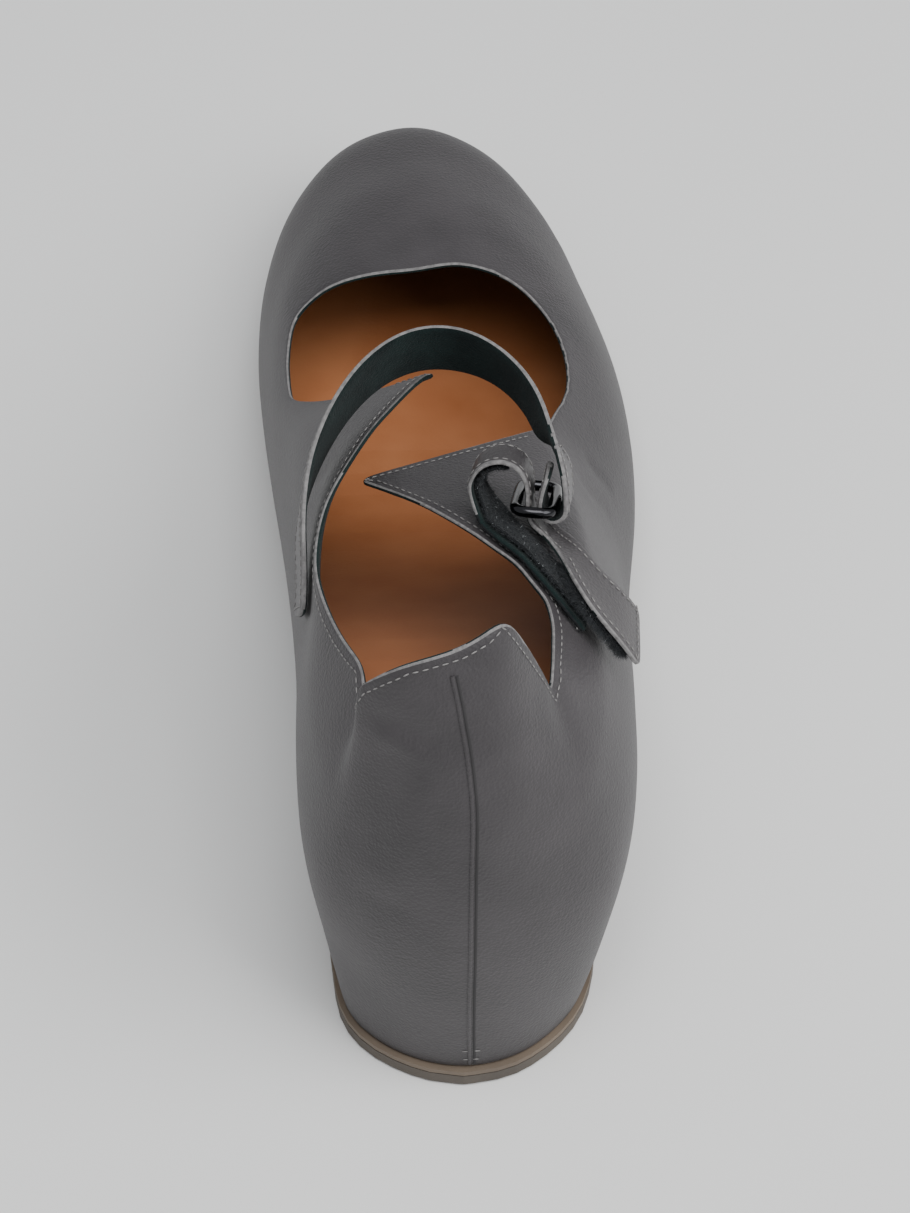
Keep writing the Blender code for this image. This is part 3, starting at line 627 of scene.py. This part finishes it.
def traced(spots, shift=0.0):
    """Points and normals on the leather under a smooth line through spots of the photograph."""
    spots = np.array(spots, float)
    t = np.linspace(0, len(spots) - 1, SEAM_POINTS)
    xs = np.interp(t, np.arange(len(spots)), spots[:, 0])
    ys = np.interp(t, np.arange(len(spots)), spots[:, 1])
    half = SOFTEN_OVER // 2
    xs[half:-half] = np.convolve(xs, np.ones(SOFTEN_OVER) / SOFTEN_OVER, "valid")
    found = [on_leather(x + shift, y) for x, y in zip(xs, ys)]
    return [(p, n) for p, n in found if p is not None]


seam_lip = tube("back_seam_lip", traced(SEAM_SPOTS), LIP_RADIUS, upper_leather, LIP_SINK)
# The second tube is a line of painted shade at the foot of the lip.
tube("back_seam_painted_shade", traced(SEAM_SPOTS, LINE_SHIFT), LINE_RADIUS, seam_shade_finish, LINE_SINK)
sew("heel_tack", [[point for point, _ in traced(row)] for row in TACK], upper_tree)
print("seam", len(seam_lip.data.polygons))

# %% [markdown]
# ## Straps
# Both straps have a grey leather outside that is a little paler than the upper's, and the dark lining
# inside. They are copies of the solids, thinned, smoothed with firm edges and sewn along them.

# %% Straps
STRAP_INSET, STRAP_THINNING, STRAP_PALE_SHARE = 0.0017, 0.22, 0.62


def strap(node, name):
    """A smoothed, sewn strap from its node."""
    piece = copy_of(node, name)
    numbers, _ = sheets(piece.data)
    dress(piece, numbers, [strap_leather, lining, cut_edge])
    thin(piece, numbers, 0, 1, STRAP_THINNING)
    thin(piece, numbers, 1, 0, STRAP_THINNING)
    longest = border(piece.data, numbers, 0)[0]
    smooth(piece, 2)
    two_tone_rim(piece, STRAP_PALE_SHARE)
    surface = tree_of(piece)
    sew(name + "_stitches", [inset_line(longest, STRAP_INSET, surface)], surface)
    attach(piece, "root")
    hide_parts(node)
    return piece


strap("instep_strap", "hoop_strap")
closure = strap("closure_strap", "fastening_strap")
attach(upper, "root")
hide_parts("upper")

# %% [markdown]
# ## Ring
# The ring is a bent wire of dark polished metal. Its copy is smoothed so that its highlights run clean.

# %% Ring
ring = copy_of("ring", "wire_ring")
ring.data.materials.append(gunmetal)
smooth(ring, 2, 0.0)
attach(ring, "root")
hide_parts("ring")

# %% [markdown]
# ## Hook-and-loop tapes
# The tapes are black and rough, with tiny pale specks of painted glint where loops catch the light. A coarse
# bump makes the roughness, and short fibres, most of them dark and a few pale as painted glints, stand along
# their surface. They lean, so some tips sink into the tape or the leather beside them. The closure's edge is
# black where it lies close to the wall.

# %% Tapes
# Rim faces of the closure that lie nearer to the wall than this gap get the black tape finish.
EDGE_BLACK_GAP = 0.0032
FIBRE_LEAN, FIBRE_HALF_WIDTH, FIBRE_SHORTEST = 0.55, 0.00005, 0.5
SPECKS, SPECK_SHARE = 110, 0.8

tape_finish = finish("black tape", (0.004, 0.005, 0.006), (0.012, 0.014, 0.016), 0.85,
                     bump=1.0, depth=0.0005, cells=1700.0, cloud=300.0, sheen=0.05, specular=0.3)
fibre_finish = finish("tape fibre", (0.010, 0.012, 0.014), (0.030, 0.034, 0.038), 0.60,
                      bump=0.1, cells=1700.0, sheen=0.1)
# Pale fibres that are painted glints, where loops of the tape catch the light.
glint_finish = finish("painted glint fibre", (0.30, 0.32, 0.33), (0.45, 0.47, 0.48), 0.60,
                      bump=0.1, cells=1700.0)


def blacken_edge(piece, black):
    """The edge of the leg that lies on the wall turns black, to look like the dark edge that is seen there."""
    piece.data.materials.append(black)
    for face in piece.data.polygons:
        gap = (upper_tree.find_nearest(face.center)[0] - face.center).length
        if face.material_index == 2 and gap < EDGE_BLACK_GAP:
            face.material_index = 3


def fuzz(name, host, count, length, material, seed, leathers):
    """Short four-sided fibres on a piece's faces, leaving out faces with leather straight ahead of them."""
    rng = np.random.default_rng(seed)
    mesh = host.data
    area = np.array([f.area for f in mesh.polygons])
    for face in mesh.polygons:
        if any(leather.ray_cast(face.center, face.normal, length)[0] is not None for leather in leathers):
            area[face.index] = 0.0
    picks = rng.choice(len(area), count, p=area / area.sum())
    verts, faces = [], []
    for pick in picks:
        face = mesh.polygons[int(pick)]
        corners = np.array([mesh.vertices[v].co[:] for v in face.vertices])
        weights = rng.dirichlet(np.ones(len(corners)))
        foot = weights @ corners
        lean = np.array(face.normal[:]) + rng.normal(0, FIBRE_LEAN, 3)
        lean = lean / np.linalg.norm(lean) * length * rng.uniform(FIBRE_SHORTEST, 1.0)
        side = np.cross(lean, rng.normal(0, 1, 3))
        side = side / np.linalg.norm(side) * FIBRE_HALF_WIDTH
        other = np.cross(lean, side)
        other = other / np.linalg.norm(other) * FIBRE_HALF_WIDTH
        start = len(verts)
        verts.extend([foot + side, foot + other, foot - side, foot - other, foot + lean])
        faces.extend([(start + i, start + (i + 1) % 4, start + 4) for i in range(4)])
        faces.append((start + 3, start + 2, start + 1, start))
    piece = mesh_piece(name, [tuple(v) for v in verts], faces, material)
    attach(piece, "root")


blacken_edge(closure, tape_finish)
# Each tape has its node, its piece, a seed, its fibres' length and number, and the leathers to look for.
TAPES = (
    ("pile_tape", "loop_tape", 3, 0.0010, 6000, ()),
    ("hook_tape", "rough_tape", 5, 0.0022, 12000, (upper_tree, tree_of(closure))),
)
for node, name, seed, stand, count, leathers in TAPES:
    tape = copy_of(node, name)
    tape.data.materials.append(tape_finish)
    smooth(tape, 1)
    fuzz(name + "_fibres", tape, count, stand, fibre_finish, seed, leathers)
    # The pale fibres are painted glints.
    fuzz(name + "_painted_glints", tape, SPECKS, stand * SPECK_SHARE, glint_finish, seed + 1, leathers)
    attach(tape, "root")
    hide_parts(node)
print("tapes dressed")

# %% [markdown]
# ## Soles and footbed
# The rubber, the thin tan layer and the footbed keep their solids' shape, so only their materials change.

# %% Soles and footbed
for node, material in (("outsole", rubber), ("midsole", board), ("insole", footbed)):
    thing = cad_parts[node]
    for slot in thing.material_slots:
        slot.material = material
print("soles dressed")

# %% [markdown]
# ## Floor and light
# The floor is plain and nearly white. One large soft light stands on the outer side behind the heel, one
# hangs high above and behind the heel, so that some light reaches in towards the vamp, and a pale world
# keeps the shade open.

# %% Floor and light
FLOOR_SIZE, FLOOR_COLOUR, FLOOR_ROUGHNESS = 6.0, (0.80, 0.80, 0.79, 1.0), 0.8
WORLD_COLOUR, WORLD_STRENGTH = (0.9, 0.92, 0.95, 1.0), 0.55
LIGHT_AIM = Vector((0, 0, 0.03))

bpy.ops.mesh.primitive_plane_add(size=FLOOR_SIZE, location=(0, 0, 0))
floor = bpy.context.active_object
floor.name = "floor"
floor_finish = bpy.data.materials.new("pale floor")
floor_finish.use_nodes = True
floor_shader = floor_finish.node_tree.nodes["Principled BSDF"]
floor_shader.inputs["Base Color"].default_value = FLOOR_COLOUR
floor_shader.inputs["Roughness"].default_value = FLOOR_ROUGHNESS
floor.data.materials.append(floor_finish)

# Each light has a name, a place, a size and a power.
LIGHTS = (
    ("key", (0.88, -0.48, 0.98), 1.0, 13.0),
    ("top", (0.05, -0.40, 1.35), 0.8, 12.0),
)
for name, spot, size, power in LIGHTS:
    lamp = bpy.data.lights.new(name, "AREA")
    lamp.size = size
    lamp.energy = power
    holder = bpy.data.objects.new(name, lamp)
    bpy.context.scene.collection.objects.link(holder)
    holder.location = spot
    holder.rotation_euler = (LIGHT_AIM - Vector(spot)).to_track_quat("-Z", "Y").to_euler()
world = bpy.data.worlds.new("pale world")
world.use_nodes = True
world.node_tree.nodes["Background"].inputs["Color"].default_value = WORLD_COLOUR
world.node_tree.nodes["Background"].inputs["Strength"].default_value = WORLD_STRENGTH
bpy.context.scene.world = world
print("lights", len(LIGHTS))
